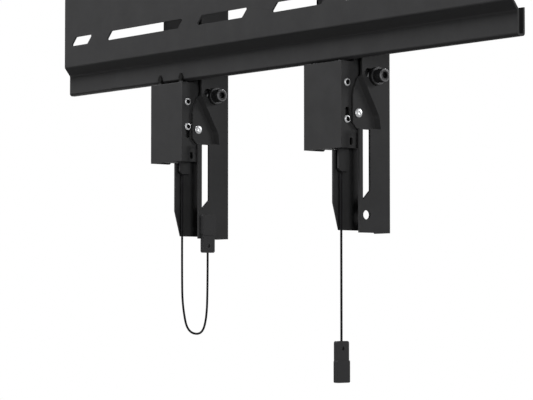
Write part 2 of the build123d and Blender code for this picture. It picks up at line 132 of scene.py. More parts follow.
# Routes of the two pull cords in metres: x is from the edge of their hook bracket, y and z are the frame's.
LOOPED_ROUTE = (
    (-0.0074, 0.0082, -0.1910),
    (-0.0078, 0.0079, -0.3050),
    (-0.0066, 0.0090, -0.3320),
    (-0.0033, 0.0123, -0.3540),
    (0.0066, 0.0228, -0.3570),
    (0.0102, 0.0266, -0.3400),
    (0.01075, 0.0273, -0.3050),
    (0.01075, 0.0273, -0.2725),
)
HANGING_TOP = (-0.0074, 0.0082, -0.2000)
HANGING_LENGTH = 0.1594


def length(name, description, default):
    """Length property in metres."""
    return bpy.props.FloatProperty(name=name, description=description, default=default, unit="LENGTH")


def power(name, description, default):
    """Lamp power property in watts."""
    return bpy.props.FloatProperty(name=name, description=description, default=default, unit="POWER")


def count(name, description, default):
    """Count property of at least twelve."""
    return bpy.props.IntProperty(name=name, description=description, default=default, min=12)


def colour(name, description, default):
    """Colour property in linear light."""
    return bpy.props.FloatVectorProperty(
        name=name, description=description, default=default, size=3, min=0.0, max=1.0, subtype="COLOR"
    )


class BracketSizes(bpy.types.PropertyGroup):
    """Sizes and lamp powers of the finish that a user would change."""

    edge_round: length("Edge round", "Radius of the coated sheet edges", 0.0004)
    tab_round: length("Tab round", "Radius of the moulded tab edges", 0.0006)
    cord_diameter: length("Cord diameter", "Diameter of the pull cords", 0.0022)
    rivet_bore: length("Rivet bore", "Radius of the hole in a tubular rivet", 0.0019)
    rivet_shank: length("Rivet shank", "Radius of a tubular rivet's shank", 0.0025)
    pivot_shank: length("Pivot shank", "Radius of the pivot rivet's shank", 0.003)
    screw_shank: length("Screw shank", "Radius of the clamp screw's shank", 0.004)
    screw_head: length("Screw head", "Height of the clamp screw's head", 0.009)
    screw_socket: length("Screw socket", "Corner radius of the clamp screw's socket", 0.00345)
    knurl_count: count("Knurl ridges", "Ridges round the clamp screw's head", 40)
    spring_wire: length("Spring wire", "Diameter of the latch spring's wire", 0.0009)
    spring_turns: bpy.props.FloatProperty(
        name="Spring turns", description="Turns of the latch spring", default=6.0, min=2.0
    )
    turned_steps: count("Turned steps", "Steps round a turned piece, a multiple of six", 48)
    floor_drop: length("Floor drop", "Floor below the lowest point of the bracket", 1.8)
    key_power: power("Key lamp", "Power of the key lamp", 125.0)
    fill_power: power("Fill lamp", "Power of the fill lamp", 17.5)
    side_power: power("Side lamp", "Power of the side lamp", 21.0)
    back_power: power("Back lamp", "Power of the lamp on the set's side", 60.0)
    world_strength: bpy.props.FloatProperty(
        name="World light", description="Light from all round", default=0.05
    )


class BracketColours(bpy.types.PropertyGroup):
    """Colours of the finish that a user would change."""

    coat: colour("Powder coat", "Matt black coat of the folded sheets", (0.050, 0.050, 0.051))
    # Edge rounds: a lighter coat, partly a thinner coat on the edges and partly a painted highlight along
    # them.
    coat_edge: colour("Coat edge", "Thin coat along the sheets' edges", (0.066, 0.066, 0.068))
    # Latch tips: a darker coat that is painted shade, standing in for the shadow on the tips.
    coat_dark: colour("Latch tips", "Coat of the latch tips, dark with oil", (0.010, 0.010, 0.010))
    zinc: colour("Zinc", "Bright plate of rivets, spacers and nuts", (0.36, 0.364, 0.37))
    oxide: colour("Black oxide", "Clamp screws and washers", (0.024, 0.024, 0.025))
    oxide_worn: colour("Worn oxide", "Bare steel that shows on the screw's edges", (0.12, 0.12, 0.124))
    wire: colour("Spring wire", "Drawn steel of the springs", (0.50, 0.50, 0.51))
    cord: colour("Cord", "Braided cord", (0.012, 0.012, 0.013))
    tab: colour("Tab", "Moulded grip of the pull tabs", (0.016, 0.016, 0.017))
    magnet: colour("Magnet", "Nickel plate of the magnets", (0.62, 0.61, 0.60))
    floor: colour("Floor", "Pale floor and backdrop", (0.12, 0.12, 0.12))


class Value:
    """One shader socket. Arithmetic on it adds Math nodes."""

    def __init__(self, finish, socket):
        self.finish = finish
        self.socket = socket

    def math(self, operation, *others):
        """Math node of this value and the others."""
        values = dict(enumerate((self, *others)))
        return self.finish.node("ShaderNodeMath", {"operation": operation}, values)

    def __add__(self, other):
        return self.math("ADD", other)

    __radd__ = __add__

    def __mul__(self, other):
        return self.math("MULTIPLY", other)

    __rmul__ = __mul__

    def __sub__(self, other):
        return self.math("SUBTRACT", other)

    def clamped(self, low, high):
        """This value stretched from low..high to 0..1 and kept there."""
        sockets = {"Value": self, "From Min": low, "From Max": high}
        return self.finish.node("ShaderNodeMapRange", {"clamp": True}, sockets)


class Finish:
    """Node tree of one material."""

    def __init__(self, name):
        self.material = bpy.data.materials.new(name)
        self.material.use_nodes = True
        self.tree = self.material.node_tree
        self.tree.nodes.clear()
        self.surface = self.tree.nodes.new("ShaderNodeBsdfPrincipled")
        output = self.tree.nodes.new("ShaderNodeOutputMaterial")
        self.tree.links.new(self.surface.outputs["BSDF"], output.inputs["Surface"])

    def plug(self, socket, value):
        """Link a value to a socket, or set a number, colour or vector on it."""
        if isinstance(value, Value):
            self.tree.links.new(value.socket, socket)
        elif hasattr(value, "__len__") and len(value) == 3 and len(socket.default_value) == 4:
            socket.default_value = (*value, 1.0)
        else:
            socket.default_value = value

    def node(self, kind, settings=None, sockets=None, output=0):
        """Add a node with its settings, plug its sockets and give one of its outputs."""
        made = self.tree.nodes.new(kind)
        for name, value in (settings or {}).items():
            setattr(made, name, value)
        for name, value in (sockets or {}).items():
            self.plug(made.inputs[name], value)
        return Value(self, made.outputs[output])

    def place(self):
        """Object coordinates, in metres."""
        return self.node("ShaderNodeTexCoord", output="Object")

    def noise(self, vector, scale, detail=2.0, roughness=0.5):
        """Noise between 0 and 1."""
        sockets = {"Vector": vector, "Scale": scale, "Detail": detail, "Roughness": roughness}
        return self.node("ShaderNodeTexNoise", None, sockets)

    def mix(self, factor, first, second):
        """Colour between two colours."""
        made = self.tree.nodes.new("ShaderNodeMix")
        made.data_type = "RGBA"
        self.plug(made.inputs["Factor"], factor)
        self.plug(made.inputs[6], first)
        self.plug(made.inputs[7], second)
        return Value(self, made.outputs[2])

    def bump(self, height, distance, strength=1.0):
        """Bump from a height between 0 and 1."""
        sockets = {"Height": height, "Distance": distance, "Strength": strength}
        self.set("Normal", self.node("ShaderNodeBump", None, sockets))

    def set(self, socket, value):
        """Plug one socket of the surface."""
        self.plug(self.surface.inputs[socket], value)


def shade(base, share):
    """Colour made darker or lighter by a share."""
    return tuple(channel * share for channel in base)


def powder_coat(name, base):
    """Matt textured coat: fine orange peel, a little mottling and dust in the roughness."""
    finish = Finish(name)
    place = finish.place()
    peel = finish.noise(place, scale=1100.0, detail=3.0, roughness=0.55)
    mottle = finish.noise(place, scale=38.0, detail=3.0, roughness=0.6)
    speck = finish.noise(place, scale=2600.0, detail=1.0).clamped(0.62, 0.74)
    toned = finish.mix(mottle.clamped(0.3, 0.7), shade(base, 0.9), shade(base, 1.08))
    finish.set("Base Color", finish.mix(speck * 0.35, toned, shade(base, 1.5)))
    finish.set("Roughness", 0.5 + 0.14 * mottle + 0.05 * peel)
    finish.set("Specular IOR Level", 0.05)
    finish.bump(peel, distance=0.00006, strength=0.55)
    return finish.material


def plated_zinc(name, base):
    """Bright zinc: fine tumbling marks and faint grey clouding."""
    finish = Finish(name)
    place = finish.place()
    cloud = finish.noise(place, scale=420.0, detail=3.0, roughness=0.6)
    marks = finish.noise(place, scale=3200.0, detail=2.0, roughness=0.7)
    finish.set("Base Color", finish.mix(cloud.clamped(0.35, 0.75), base, shade(base, 0.78)))
    finish.set("Metallic", 1.0)
    finish.set("Roughness", 0.24 + 0.16 * cloud)
    finish.bump(marks, distance=0.00003, strength=0.5)
    return finish.material


def black_oxide(name, base, worn):
    """Black oxide on steel, rubbed bright in small patches."""
    finish = Finish(name)
    place = finish.place()
    rub = finish.noise(place, scale=650.0, detail=4.0, roughness=0.65)
    grain = finish.noise(place, scale=2400.0, detail=2.0)
    patches = rub.clamped(0.56, 0.72)
    finish.set("Base Color", finish.mix(patches, base, worn))
    finish.set("Metallic", 0.75)
    finish.set("Roughness", 0.36 + 0.18 * grain - 0.08 * patches)
    finish.bump(grain, distance=0.00003, strength=0.5)
    return finish.material


def drawn_wire(name, base):
    """Drawn spring wire with a thin film of oil."""
    finish = Finish(name)
    streak = finish.noise(finish.place(), scale=900.0, detail=3.0, roughness=0.6)
    finish.set("Base Color", finish.mix(streak, shade(base, 0.8), shade(base, 1.15)))
    finish.set("Metallic", 1.0)
    finish.set("Roughness", 0.28 + 0.15 * streak)
    finish.bump(streak, distance=0.00002, strength=0.4)
    return finish.material


def braided_cord(name, base):
    """Fine braid: two sets of strands that cross along the cord's own map."""
    finish = Finish(name)
    along = finish.node("ShaderNodeUVMap", {"uv_map": "braid"})
    split = finish.tree.nodes.new("ShaderNodeSeparateXYZ")
    finish.tree.links.new(along.socket, split.inputs[0])
    turn = Value(finish, split.outputs["X"])
    run = Value(finish, split.outputs["Y"])
    first = (turn * BRAID_TURN + run * BRAID_RUN).math("SINE")
    second = (turn * BRAID_TURN - run * BRAID_RUN).math("SINE")
    strands = (first.math("MAXIMUM", second) * 0.5 + 0.5).clamped(0.2, 1.0)
    fuzz = finish.noise(finish.place(), scale=2500.0, detail=2.0)
    finish.set("Base Color", finish.mix(strands, shade(base, 0.8), shade(base, 1.15)))
    finish.set("Roughness", 0.68 + 0.2 * fuzz)
    finish.set("Specular IOR Level", 0.06)
    finish.bump(strands, distance=0.0001, strength=0.25)
    return finish.material


def moulded_tab(name, base):
    """Moulded plastic with a fine spark-eroded grain."""
    finish = Finish(name)
    place = finish.place()
    grain = finish.noise(place, scale=1500.0, detail=3.0, roughness=0.6)
    sheen = finish.noise(place, scale=90.0, detail=2.0)
    finish.set("Base Color", finish.mix(sheen, shade(base, 0.88), shade(base, 1.14)))
    finish.set("Roughness", 0.44 + 0.12 * sheen + 0.08 * grain)
    finish.set("Specular IOR Level", 0.18)
    finish.bump(grain, distance=0.00005, strength=0.5)
    return finish.material


def seen_rays(tree):
    """Output that is 1 where a camera, glossy or clear ray arrives."""
    path = tree.nodes.new("ShaderNodeLightPath")
    seen = path.outputs["Is Camera Ray"]
    for ray in ("Is Glossy Ray", "Is Transmission Ray"):
        either = tree.nodes.new("ShaderNodeMath")
        either.operation = "MAXIMUM"
        tree.links.new(seen, either.inputs[0])
        tree.links.new(path.outputs[ray], either.inputs[1])
        seen = either.outputs[0]
    return seen


def pale_ground(name, base):
    """Pale floor: white where camera, glossy or clear rays meet it, diffuse for the rest."""
    material = bpy.data.materials.new(name)
    material.use_nodes = True
    tree = material.node_tree
    tree.nodes.clear()
    diffuse = tree.nodes.new("ShaderNodeBsdfDiffuse")
    diffuse.inputs["Color"].default_value = (*base, 1.0)
    white = tree.nodes.new("ShaderNodeEmission")
    white.inputs["Strength"].default_value = 1.0
    shown = tree.nodes.new("ShaderNodeMixShader")
    tree.links.new(seen_rays(tree), shown.inputs["Fac"])
    tree.links.new(diffuse.outputs[0], shown.inputs[1])
    tree.links.new(white.outputs[0], shown.inputs[2])
    output = tree.nodes.new("ShaderNodeOutputMaterial")
    tree.links.new(shown.outputs[0], output.inputs["Surface"])
    return material


def material(name, make, *colours):
    """Material of that name, made on its first use."""
    return bpy.data.materials.get(name) or make(name, *colours)


def coat_materials(colours):
    """Coat of the faces, and a lighter coat of the edge rounds: a thinner coat there and a painted
    highlight along the edges.
    """
    face = material("powder_coat", powder_coat, colours.coat)
    edge = material("powder_coat_edge", powder_coat, colours.coat_edge)
    return face, edge


def new_piece(name, mesh, body, replaced):
    """Object at the origin that rides on a body and stands for CAD nodes."""
    piece = bpy.data.objects.new(name, mesh)
    bpy.context.scene.collection.objects.link(piece)
    if body:
        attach(piece, body)
    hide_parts(*replaced)
    return piece


def evaluated_mesh(piece):
    """Plain mesh of an object with its modifiers or nodes applied."""
    graph = bpy.context.evaluated_depsgraph_get()
    return bpy.data.meshes.new_from_object(piece.evaluated_get(graph), depsgraph=graph)


def rounded_copy(node, name, radius, steps, materials, cut=None):
    """Mesh of a CAD node with its triangles joined to flat faces and its edges rounded.

    Faces that cross the height cut are split there. The last material is that of the rounds.
    """
    mesh = bpy.data.meshes.new(name)
    work = bmesh.new()
    work.from_mesh(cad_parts[node].data)
    bmesh.ops.remove_doubles(work, verts=work.verts, dist=MERGE_DISTANCE)
    bmesh.ops.dissolve_limit(
        work,
        angle_limit=math.radians(FLAT_ANGLE),
        verts=work.verts,
        edges=work.edges,
        use_dissolve_boundaries=False,
    )
    if cut is not None:
        everything = [*work.verts, *work.edges, *work.faces]
        bmesh.ops.bisect_plane(work, geom=everything, plane_co=(0, 0, cut), plane_no=(0, 0, 1))
    for face in work.faces:
        face.smooth = True
        face.material_index = 0
    work.to_mesh(mesh)
    work.free()
    for made in materials:
        mesh.materials.append(made)
    holder = bpy.data.objects.new(name + "_work", mesh)
    bpy.context.scene.collection.objects.link(holder)
    bevel = holder.modifiers.new("round", "BEVEL")
    bevel.width = radius
    bevel.segments = steps
    bevel.limit_method = "ANGLE"
    bevel.angle_limit = math.radians(SHARP_ANGLE)
    bevel.harden_normals = True
    # The rounds take the last material; on the sheets that is the lighter edge coat, partly a painted
    # highlight.
    bevel.material = len(materials) - 1
    finished = evaluated_mesh(holder)
    finished.name = name
    for face in finished.polygons:
        face.use_smooth = face_width(finished, face) < FLAT_WIDTH
    bpy.data.objects.remove(holder)
    bpy.data.meshes.remove(mesh)
    return finished


def face_width(mesh, face):
    """Width of a long face, or about half the width of a square one."""
    corners = [mesh.vertices[index].co for index in face.vertices]
    around = sum((after - corner).length for corner, after in zip(corners, corners[1:] + corners[:1]))
    return 2 * face.area / around


def ring_point(x, radius, sides, angle, centre):
    """Point of a ring round an X axis; a ring with sides is a polygon with that corner radius."""
    if sides:
        part = 2 * math.pi / sides
        radius *= math.cos(part / 2) / math.cos(angle % part - part / 2)
    return (x, centre[0] + radius * math.cos(angle), centre[1] + radius * math.sin(angle))


def turned(name, rings, centre, steps, materials):
    """Closed turned mesh along X.

    A ring is its x and radius, and where they aren't 0, its number of sides and the material index of
    the faces that lead to it. A radius of 0 is a pole.
    """
    rings = [(*ring, 0, 0)[:4] for ring in rings]
    work = bmesh.new()
    loops = []
    for x, radius, sides, _ in rings:
        if radius == 0:
            loops.append([work.verts.new((x, *centre))] * steps)
        else:
            angles = (2 * math.pi * k / steps for k in range(steps))
            loops.append([work.verts.new(ring_point(x, radius, sides, a, centre)) for a in angles])
    for row, (first, second) in enumerate(zip(loops, loops[1:])):
        for k in range(steps):
            after = (k + 1) % steps
            corners = dict.fromkeys((first[k], second[k], second[after], first[after]))
            face = work.faces.new(list(corners))
            face.smooth = True
            face.material_index = rings[row + 1][3]
    if rings[0][1] and rings[-1][1]:
        for k in range(steps):
            after = (k + 1) % steps
            face = work.faces.new((loops[-1][k], loops[0][k], loops[0][after], loops[-1][after]))
            face.smooth = True
    bmesh.ops.recalc_face_normals(work, faces=work.faces)
    mesh = bpy.data.meshes.new(name)
    work.to_mesh(mesh)
    work.free()
    mesh.set_sharp_from_angle(angle=math.radians(SHARP_ANGLE))
    for made in materials:
        mesh.materials.append(made)
    return mesh


def node_axis(node):
    """Ends along X, outer radius and centre in depth and height of a round CAD node."""
    low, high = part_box(node)
    centre = ((low.y + high.y) / 2, (low.z + high.z) / 2)
    return low.x, high.x, (high.y - low.y) / 2, centre


def tree_inputs(tree, sockets):
    """Add named inputs and a geometry output to a node tree, and give the input identifiers."""
    tree.interface.new_socket("Geometry", in_out="OUTPUT", socket_type="NodeSocketGeometry")
    made = {}
    for name, kind in sockets:
        socket = tree.interface.new_socket(name, in_out="INPUT", socket_type=kind)
        made[name] = socket.identifier
    return made


def tree_node(tree, kind, sockets=None, settings=None):
    """Node of a geometry tree; a socket takes a link from another node's output or a plain value."""
    made = tree.nodes.new(kind)
    for name, value in (settings or {}).items():
        setattr(made, name, value)
    for name, value in (sockets or {}).items():
        if isinstance(value, bpy.types.NodeSocket):
            tree.links.new(value, made.inputs[name])
        else:
            made.inputs[name].default_value = value
    return made


def run_tree(name, tree, values):
    """Plain mesh that a geometry tree makes with these input values."""
    holder = bpy.data.objects.new(name + "_work", bpy.data.meshes.new(name + "_work"))
    bpy.context.scene.collection.objects.link(holder)
    modifier = holder.modifiers.new("tree", "NODES")
    modifier.node_group = tree
    for identifier, value in values.items():
        modifier[identifier] = value
    mesh = evaluated_mesh(holder)
    mesh.name = name
    holder.modifiers.remove(modifier)
    bpy.data.objects.remove(holder)
    return mesh


def spring_tree():
    """Geometry tree of a coil spring along Z: a spiral with a round wire."""
    tree = bpy.data.node_groups.new("coil_spring", "GeometryNodeTree")
    names = (
        ("Radius", "NodeSocketFloat"),
        ("Height", "NodeSocketFloat"),
        ("Turns", "NodeSocketFloat"),
        ("Wire", "NodeSocketFloat"),
        ("Place", "NodeSocketVector"),
        ("Material", "NodeSocketMaterial"),
    )
    inputs = tree_inputs(tree, names)
    given = tree.nodes.new("NodeGroupInput").outputs
    spiral = tree_node(
        tree,
        "GeometryNodeCurveSpiral",
        {
            "Resolution": COIL_STEPS,
            "Rotations": given["Turns"],
            "Start Radius": given["Radius"],
            "End Radius": given["Radius"],
            "Height": given["Height"],
        },
    )
    wire = tree_node(
        tree, "GeometryNodeCurvePrimitiveCircle", {"Resolution": WIRE_STEPS, "Radius": given["Wire"]}
    )
    coil = tree_node(
        tree,
        "GeometryNodeCurveToMesh",
        {"Curve": spiral.outputs[0], "Profile Curve": wire.outputs[0], "Fill Caps": True},
    )
    placed = tree_node(
        tree, "GeometryNodeTransform", {"Geometry": coil.outputs[0], "Translation": given["Place"]}
    )
    smooth = tree_node(tree, "GeometryNodeSetShadeSmooth", {"Geometry": placed.outputs[0]})
    real = tree_node(tree, "GeometryNodeRealizeInstances", {"Geometry": smooth.outputs[0]})
    coated = tree_node(
        tree, "GeometryNodeSetMaterial", {"Geometry": real.outputs[0], "Material": given["Material"]}
    )
    tree_node(tree, "NodeGroupOutput", {"Geometry": coated.outputs[0]})
    return tree, inputs


def knurl_tree():
    """Geometry tree of the ridges round a screw head along X."""
    tree = bpy.data.node_groups.new("knurl_ridges", "GeometryNodeTree")
    names = (
        ("Count", "NodeSocketInt"),
        ("Radius", "NodeSocketFloat"),
        ("Ridge", "NodeSocketVector"),
        ("Place", "NodeSocketVector"),
        ("Material", "NodeSocketMaterial"),
    )
    inputs = tree_inputs(tree, names)
    given = tree.nodes.new("NodeGroupInput").outputs
    circle = tree_node(
        tree, "GeometryNodeMeshCircle", {"Vertices": given["Count"], "Radius": given["Radius"]}
    )
    ridge = tree_node(tree, "GeometryNodeMeshCube", {"Size": given["Ridge"]})
    position = tree_node(tree, "GeometryNodeInputPosition")
    facing = tree_node(
        tree, "FunctionNodeAlignRotationToVector", {"Vector": position.outputs[0]}, {"axis": "X"}
    )
    corner = tree_node(tree, "FunctionNodeAxisAngleToRotation", {"Axis": (0, 0, 1), "Angle": math.pi / 4})
    turned_on = tree_node(
        tree,
        "FunctionNodeRotateRotation",
        {"Rotation": facing.outputs[0], "Rotate By": corner.outputs[0]},
        {"rotation_space": "LOCAL"},
    )
    ridges = tree_node(
        tree,
        "GeometryNodeInstanceOnPoints",
        {"Points": circle.outputs[0], "Instance": ridge.outputs[0], "Rotation": turned_on.outputs[0]},
    )
    real = tree_node(tree, "GeometryNodeRealizeInstances", {"Geometry": ridges.outputs[0]})
    along = tree_node(
        tree,
        "GeometryNodeTransform",
        {"Geometry": real.outputs[0], "Rotation": (0, math.pi / 2, 0), "Translation": given["Place"]},
    )
    coated = tree_node(
        tree, "GeometryNodeSetMaterial", {"Geometry": along.outputs[0], "Material": given["Material"]}
    )
    tree_node(tree, "NodeGroupOutput", {"Geometry": coated.outputs[0]})
    return tree, inputs


def joined(name, meshes):
    """One mesh of several, with their materials kept."""
    holders = []
    for mesh in meshes:
        holder = bpy.data.objects.new(name + "_part", mesh)
        bpy.context.scene.collection.objects.link(holder)
        holders.append(holder)
    with bpy.context.temp_override(
        active_object=holders[0], selected_editable_objects=holders, selected_objects=holders
    ):
        bpy.ops.object.join()
    mesh = holders[0].data
    mesh.name = name
    bpy.data.objects.remove(holders[0])
    return mesh


class BracketOperator(bpy.types.Operator):
    """Base of the operators that make one group of pieces."""

    bl_options = {"REGISTER", "UNDO"}

    def execute(self, context):
        """Make the pieces from the scene's sizes and colours."""
        self.make(context.scene.bracket_sizes, context.scene.bracket_colours)
        return {"FINISHED"}


class BRACKET_OT_sheets(BracketOperator):
    """Coated folded sheets with rounded edges"""

    bl_idname = "bracket.sheets"
    bl_label = "Coated sheets"

    def make(self, sizes, colours):
        coats = coat_materials(colours)
        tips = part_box("wall_plate")[0].z
        for node, body in SHEETS:
            cut = tips if node.endswith("latch_slider") else None
            mesh = rounded_copy(node, node + "_coated", sizes.edge_round, 2, coats, cut)
            # The faces of the latch tips above the rail's lower edge get painted shade.
            if cut is not None:
                self.paint_tip_shade(mesh, cut, colours)
            new_piece(node + "_coated", mesh, body, (node,))

    def paint_tip_shade(self, mesh, height, colours):
        """Give the faces above a height a darker coat: painted shade on the latch tips."""
        mesh.materials.append(material("powder_coat_dark", powder_coat, colours.coat_dark))
        for face in mesh.polygons:
            if face.center.z > height:
                face.material_index = len(mesh.materials) - 1


class BRACKET_OT_rivets(BracketOperator):
    """Tubular rivets of the latch, domed pivot rivets and tie spacers"""

    bl_idname = "bracket.rivets"
    bl_label = "Rivets"

    def make(self, sizes, colours):
        zinc = material("plated_zinc", plated_zinc, colours.zinc)
        # The dark oxide coat in the bores of the tubular rivets is painted shade.
        bore_shade_paint = material("black_oxide", black_oxide, colours.oxide, colours.oxide_worn)
        for side in SIDES:
            for name, body in (("guide_rivet", "hook"), ("latch_pin", "latch")):
                node = f"{side}_{name}"
                mesh = self.tubular(node, sizes, zinc, bore_shade_paint)
                new_piece(node + "_rolled", mesh, f"{side}_{body}", (node,))
            node = f"{side}_pivot_rivet"
            new_piece(node + "_domed", self.domed(node, sizes, zinc), f"{side}_hook", (node,))
            node = f"{side}_tie_spacer"
            new_piece(node + "_swaged", self.spacer(node, sizes, zinc), f"{side}_hook", (node,))

    def tubular(self, node, sizes, zinc, bore_shade_paint):
        """Rivet with a rolled rim round its bore and a swelled tail. The throat and the bore take the dark
        oxide coat, painted shade in the hole.
        """
        tail, head, radius, centre = node_axis(node)
        # dark is the material index of the painted shade in the throat and the bore.
        head_height, lip, dark = 0.0010, 0.0005, 1
        tail_length, tail_swell, tail_edge, tail_edge_swell = 0.0012, 0.0004, 0.0002, 0.0003
        bore_depth, bore_point = 0.0032, 0.0034
        bore, shank = sizes.rivet_bore, sizes.rivet_shank
        under = head - head_height
        crest = bore + lip
        rim = [
            (under + (head - under) * math.sin(t), crest + (radius - crest) * math.cos(t))
            for t in (math.radians(a) for a in range(10, 91, 10))
        ]
        throat = [
            (head - lip + lip * math.cos(t), crest - lip * math.sin(t), 0, dark)
            for t in (math.radians(a) for a in range(30, 91, 15))
        ]
        rings = [
            (tail, 0.0),
            (tail, shank),
            (tail + tail_edge, shank + tail_edge_swell),
            (tail + tail_length, shank + tail_swell),
            (tail + tail_length, shank),
            (under, shank),
            (under, radius),
            *rim,
            *throat,
            (head - bore_depth, bore, 0, dark),
            (head - bore_point, 0.0, 0, dark),
        ]
        return turned(node + "_rolled", rings, centre, sizes.turned_steps, (zinc, bore_shade_paint))

    def domed(self, node, sizes, zinc):
        """Rivet with a low domed head, a small peened flat and a swelled tail."""
        tail, head, radius, centre = node_axis(node)
        head_height, head_edge, dome_height, dome_flat = 0.0014, 0.0004, 0.0010, 0.0014
        peen_depth, peen_radius = 0.0002, 0.0010
        tail_length, tail_swell, tail_edge, tail_end_swell = 0.0016, 0.0006, 0.0003, 0.0004
        shank = sizes.pivot_shank
        under = head - head_height
        dome = [
            (under + head_edge + dome_height * math.sin(t), dome_flat + (radius - dome_flat) * math.cos(t))
            for t in (math.radians(a) for a in range(0, 91, 10))
        ]
        rings = [
            (tail, 0.0),
            (tail, shank + tail_end_swell),
            (tail + tail_edge, shank + tail_swell),
            (tail + tail_length, shank + tail_swell),
            (tail + tail_length, shank),
            (under, shank),
            (under, radius),
            *dome,
            (head - peen_depth, peen_radius),
            (head - peen_depth, 0.0),
        ]
        return turned(node + "_domed", rings, centre, sizes.turned_steps, (zinc,))

    def spacer(self, node, sizes, zinc):
        """Tube with turned-down ends that are swaged in the two side walls."""
        low, high, radius, centre = node_axis(node)
        wall, bore, neck, edge = 0.0025, 0.0016, 0.0030, 0.0004
        rings = [
            (low, bore),
            (low, neck),
            (low + wall, neck),
            (low + wall, radius - edge),
            (low + wall + edge, radius),
            (high - wall - edge, radius),
            (high - wall, radius - edge),
            (high - wall, neck),
            (high, neck),
            (high, bore),
        ]
        return turned(node + "_swaged", rings, centre, sizes.turned_steps, (zinc,))


class BRACKET_OT_clamps(BracketOperator):
    """Clamp screws with knurled heads, their washers, spacers and nuts"""

    bl_idname = "bracket.clamps"
    bl_label = "Tilt clamps"

    def make(self, sizes, colours):
        oxide = material("black_oxide", black_oxide, colours.oxide, colours.oxide_worn)
        rubbed = material("rubbed_oxide", black_oxide, colours.oxide_worn, colours.oxide_worn)
        zinc = material("plated_zinc", plated_zinc, colours.zinc)
        ridges = knurl_tree()
        washer_edge, spacer_edge = 0.0005, 0.0003
        for side in SIDES:
            body = f"{side}_hook"
            node = f"{side}_clamp_screw"
            mesh = joined(node + "_knurled", self.screw(node, sizes, oxide, rubbed, ridges))
            new_piece(node + "_knurled", mesh, body, (node,))
            node = f"{side}_clamp_washer"
            mesh = self.ring(node, sizes, washer_edge, (oxide,))
            new_piece(node + "_turned", mesh, body, (node,))
            node = f"{side}_clamp_spacer"
            mesh = self.ring(node, sizes, spacer_edge, (zinc,))
            new_piece(node + "_turned", mesh, body, (node,))
            node = f"{side}_clamp_nut"
            mesh = self.nut(node, sizes, zinc)
            new_piece(node + "_turned", mesh, body, (node,))

    def screw(self, node, sizes, oxide, rubbed, ridges):
        """Socket head screw: threaded shank, knurled head and a six-sided socket."""
        tail, head, radius, centre = node_axis(node)
        pitch, thread_turns, thread_depth, thread_start, tail_edge = 0.00125, 9, 0.0006, 0.0006, 0.0007
        ridge, ridge_height, ridge_gap, ridge_ends = 0.0004, 0.0003, 0.0007, 0.0022
        lip_width, lip_depth = 0.0005, 0.0004
        socket_start, socket_depth, socket_point = 0.0005, 0.0045, 0.0049
        # Rubbed round of the head's outer edge: depth below the end and step in from the side.
        head_round = ((0.0007, 0.0001), (0.0002, 0.0005), (0.0, 0.0010))
        round_start, seat_edge, worn = 0.0012, 0.0003, 1
        shank, socket = sizes.screw_shank, sizes.screw_socket
        seat = head - sizes.screw_head
        core = radius - ridge_height
        thread = []
        for k in range(thread_turns):
            start = tail + thread_start + k * pitch
            thread.append((start, shank))
            thread.append((start + pitch / 2, shank - thread_depth))
        rings = [
            (tail, 0.0),
            (tail, shank - tail_edge),
            *thread,
            (tail + thread_start + thread_turns * pitch, shank),
            (seat, shank),
            (seat, core - seat_edge),
            (seat + seat_edge, core),
            (head - round_start, core),
            *((head - depth, core - step, 0, worn) for depth, step in head_round),
            (head, socket + lip_width),
            (head - lip_depth, socket),
            (head - socket_start, socket, HEXAGON),
            (head - socket_depth, socket, HEXAGON),
            (head - socket_point, 0.0),
        ]
        body = turned(node + "_body", rings, centre, sizes.turned_steps, (oxide, rubbed))
        tree, inputs = ridges
        ridge_length = sizes.screw_head - ridge_ends
        values = {
            inputs["Count"]: sizes.knurl_count,
            inputs["Radius"]: core,
            inputs["Ridge"]: (ridge, ridge, ridge_length),
            inputs["Place"]: (seat + ridge_gap + ridge_length / 2, *centre),
            inputs["Material"]: oxide,
        }
        return body, run_tree(node + "_ridges", tree, values)

    def ring(self, node, sizes, chamfer, materials):
        """Flat ring with broken edges on its outer side."""
        low, high, radius, centre = node_axis(node)
        bore = sizes.screw_shank
        rings = [
            (low, bore),
            (low, radius - chamfer),
            (low + chamfer, radius),
            (high - chamfer, radius),
            (high, radius - chamfer),
            (high, bore),
        ]
        return turned(node + "_turned", rings, centre, sizes.turned_steps, materials)

    def nut(self, node, sizes, zinc):
        """Six-sided nut with turned corners."""
        low, high, corner, centre = node_axis(node)
        face_step, corner_depth = 0.0003, 0.0006
        bore = sizes.screw_shank
        flat = corner * math.cos(math.pi / HEXAGON)
        rings = [
            (low, bore),
            (low, flat - face_step),
            (low + corner_depth, corner, HEXAGON),
            (high - corner_depth, corner, HEXAGON),
            (high, flat - face_step),
            (high, bore),
        ]
        return turned(node + "_turned", rings, centre, sizes.turned_steps, (zinc,))


class BRACKET_OT_springs(BracketOperator):
    """Coil springs that lift the latches"""

    bl_idname = "bracket.springs"
    bl_label = "Latch springs"

    def make(self, sizes, colours):
        wire = material("drawn_wire", drawn_wire, colours.wire)
        tree, inputs = spring_tree()
        for side in SIDES:
            node = f"{side}_latch_spring"
            low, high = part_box(node)
            middle = (low + high) / 2
            half = sizes.spring_wire / 2
            values = {
                inputs["Radius"]: (high.x - low.x) / 2 - half,
                inputs["Height"]: high.z - low.z - 2 * sizes.spring_wire,
                inputs["Turns"]: sizes.spring_turns,
                inputs["Wire"]: half,
                inputs["Place"]: (middle.x, middle.y, low.z + sizes.spring_wire),
                inputs["Material"]: wire,
            }
            mesh = run_tree(node + "_coil", tree, values)
            coil = new_piece(node + "_coil", mesh, None, (node,))
            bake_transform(coil)


